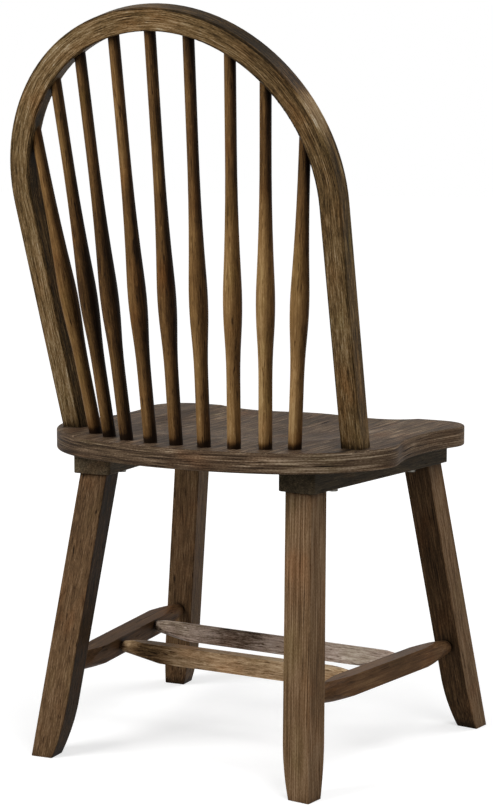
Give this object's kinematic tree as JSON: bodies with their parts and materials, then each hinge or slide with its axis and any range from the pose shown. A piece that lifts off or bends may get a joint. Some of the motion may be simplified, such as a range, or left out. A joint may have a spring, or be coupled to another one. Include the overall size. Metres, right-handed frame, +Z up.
{
  "type": "wheelback dining chair",
  "caption": "Rigid wooden dining chair with a bent hoop back of turned spindles over a saddled plank seat, on square splayed legs joined by shaved stretchers.",
  "frame": {"origin": "on the floor, under the middle of the chair's bounding box", "axes": "+Z up, the sitter faces -Y, +X is the sitter's left"},
  "size_m": [0.5502, 0.5181, 1.0402],
  "materials": {
    "bow": "weathered brown stain under a thin satin coat",
    "cleat_bolts": "zinc-plated, dulled",
    "cleat_washers": "zinc-plated, dulled",
    "cleats": "weathered brown stain under a thin satin coat",
    "cross_stretcher_front": "weathered brown stain under a thin satin coat",
    "cross_stretcher_rear": "weathered brown stain under a thin satin coat",
    "leg_dowels": "unstained beech",
    "legs": "weathered brown stain under a thin satin coat",
    "seat": "weathered brown stain under a thin satin coat",
    "side_stretchers": "weathered brown stain under a thin satin coat",
    "spindles": "weathered brown stain under a thin satin coat",
    "threaded_inserts": "zinc-plated, dulled"
  },
  "bodies": {
    "root": {"bow": "bow", "cleat_bolts": "cleat_bolts", "cleat_left": "cleats", "cleat_right": "cleats", "cleat_washers": "cleat_washers", "cross_stretcher_front": "cross_stretcher_front", "cross_stretcher_rear": "cross_stretcher_rear", "leg_dowels": "leg_dowels", "leg_front_left": "legs", "leg_front_right": "legs", "leg_rear_left": "legs", "leg_rear_right": "legs", "seat": "seat", "side_stretcher_left": "side_stretchers", "side_stretcher_right": "side_stretchers", "spindle_1": "spindles", "spindle_2": "spindles", "spindle_3": "spindles", "spindle_4": "spindles", "spindle_5": "spindles", "spindle_6": "spindles", "spindle_7": "spindles", "spindle_8": "spindles", "spindle_9": "spindles", "threaded_inserts": "threaded_inserts"}
  },
  "joints": []
}
